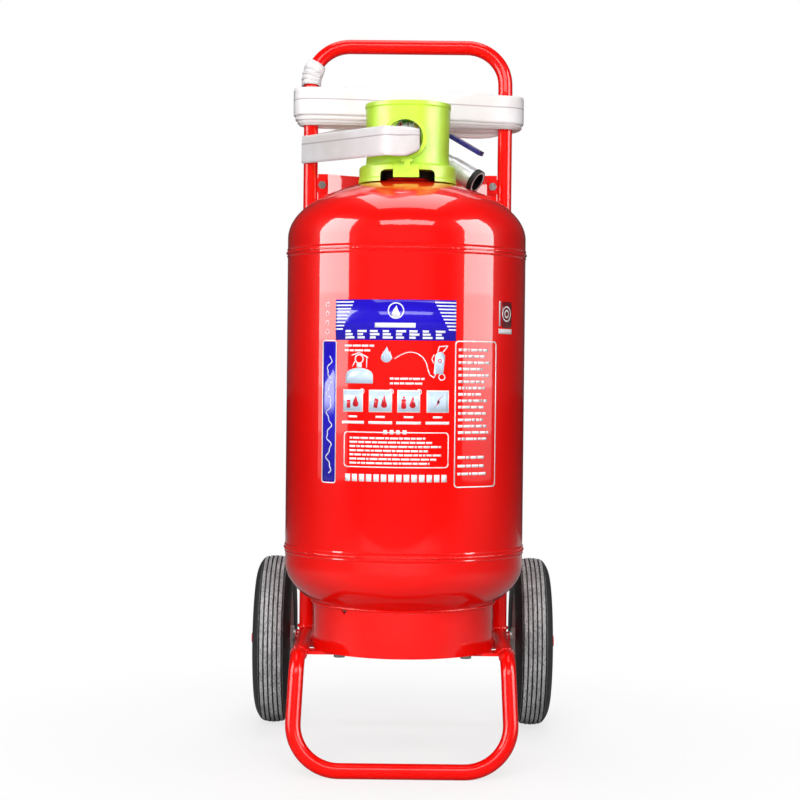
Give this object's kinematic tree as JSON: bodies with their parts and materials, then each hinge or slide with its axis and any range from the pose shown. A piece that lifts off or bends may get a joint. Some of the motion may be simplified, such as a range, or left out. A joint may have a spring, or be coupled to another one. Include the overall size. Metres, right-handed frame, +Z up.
{
  "type": "wheeled fire extinguisher",
  "caption": "Wheeled dry-powder fire extinguisher: red tank on a tube trolley with rubber wheels, lime valve guard, white lay-flat hose wound on the posts and a lever spray gun.",
  "frame": {"origin": "on the floor under the middle of the object's box, without its hose", "axes": "+Z up, the front with the label faces -Y, +X is the viewer's right"},
  "size_m": [0.444, 0.5184, 0.984],
  "materials": {
    "red_paint": "gloss",
    "zinc_steel": "satin",
    "hub_paint": "satin",
    "tyre_rubber": "matte",
    "nylon": "matte",
    "powder": "matte",
    "brass": "satin",
    "black_rubber": "matte",
    "black_paint": "satin",
    "chrome": "polished",
    "dial_white": "matte",
    "needle_black": "matte",
    "lens": "clear",
    "lime_plastic": "satin",
    "aluminium": "satin",
    "blue_plastic": "gloss",
    "white_canvas": "woven"
  },
  "bodies": {
    "root": {"tank_barrel": "red_paint", "tank_upper_head": "red_paint", "tank_lower_head": "red_paint", "upper_seam_weld": "red_paint", "lower_seam_weld": "red_paint", "base_ring": "red_paint", "neck_boss": "red_paint", "push_handle_frame": "red_paint", "right_side_rail": "red_paint", "left_side_rail": "red_paint", "foot_loop": "red_paint", "front_cradle_bar": "red_paint", "rear_cradle_bar": "red_paint", "ring_clips": "red_paint", "back_plate": "red_paint", "post_tabs": "red_paint", "axle_tube": "red_paint", "axle": "red_paint", "ring_bolts": "zinc_steel", "plate_bolts": "zinc_steel", "plate_nuts": "zinc_steel", "axle_washers": "zinc_steel", "split_pins": "zinc_steel", "valve_spring": "zinc_steel", "lever_pivot": "zinc_steel", "hose_clamp": "zinc_steel", "dip_tube": "nylon", "powder_charge": "powder", "valve_body": "brass", "outlet_coupling": "brass", "gun_coupling": "brass", "neck_gasket": "black_rubber", "muzzle_ring": "black_rubber", "clamp_ring": "black_paint", "gauge_case": "chrome", "gauge_dial": "dial_white", "gauge_lens": "lens", "valve_guard": "lime_plastic", "guard_tab": "lime_plastic", "gun_barrel": "aluminium", "gun_valve_body": "aluminium", "gun_ferrule": "aluminium", "hose_winding": "white_canvas", "hose_lead": "white_canvas", "hose_tail": "white_canvas", "tie_tape": "white_canvas"},
    "left_wheel": {"left_tyre": "tyre_rubber", "left_wheel_hub": "hub_paint", "left_wheel_bush": "nylon"},
    "right_wheel": {"right_tyre": "tyre_rubber", "right_wheel_hub": "hub_paint", "right_wheel_bush": "nylon"},
    "gun_lever": {"gun_lever": "zinc_steel", "lever_sleeve": "blue_plastic", "lever_nut": "zinc_steel", "gun_ball": "zinc_steel"},
    "valve_lever": {"valve_lever": "black_paint"},
    "valve_stem": {"valve_stem": "zinc_steel"},
    "safety_pin": {"safety_pin": "zinc_steel"},
    "gauge_needle": {"gauge_needle": "needle_black"}
  },
  "joints": [
    {"name": "left_wheel_spin", "type": "hinge", "parent": "root", "child": "left_wheel", "pos_m": [-0.187, 0.13775, 0.1215], "axis": [1, 0, 0], "continuous": true},
    {"name": "right_wheel_spin", "type": "hinge", "parent": "root", "child": "right_wheel", "pos_m": [0.187, 0.13775, 0.1215], "axis": [1, 0, 0], "continuous": true},
    {"name": "gun_lever_turn", "type": "hinge", "parent": "root", "child": "gun_lever", "pos_m": [0.0334, -0.01257, 0.816], "axis": [0.4518, -0.2142, 0.866], "range_deg": [0, 90]},
    {"name": "valve_lever_lift", "type": "hinge", "parent": "root", "child": "valve_lever", "pos_m": [0, -0.08225, 0.858], "axis": [0, -1, 0], "range_deg": [0, 90]},
    {"name": "valve_stem_travel", "type": "slide", "parent": "root", "child": "valve_stem", "axis": [0, 0, -1], "range_m": [0, 0.0021], "deforming": ["valve_spring"]},
    {"name": "safety_pin_pull", "type": "slide", "parent": "root", "child": "safety_pin", "axis": [0, 1, 0], "range_m": [0, 0.022]},
    {"name": "gauge_needle_turn", "type": "hinge", "parent": "root", "child": "gauge_needle", "pos_m": [0, -0.10775, 0.838], "axis": [0, 1, 0], "range_deg": [-110, 110], "stiffness_Nm_per_rad": 0.0005}
  ],
  "couplings": [
    {"joint": "valve_stem_travel", "follows": "valve_lever_lift", "m_per_rad": 0.0012732}
  ]
}
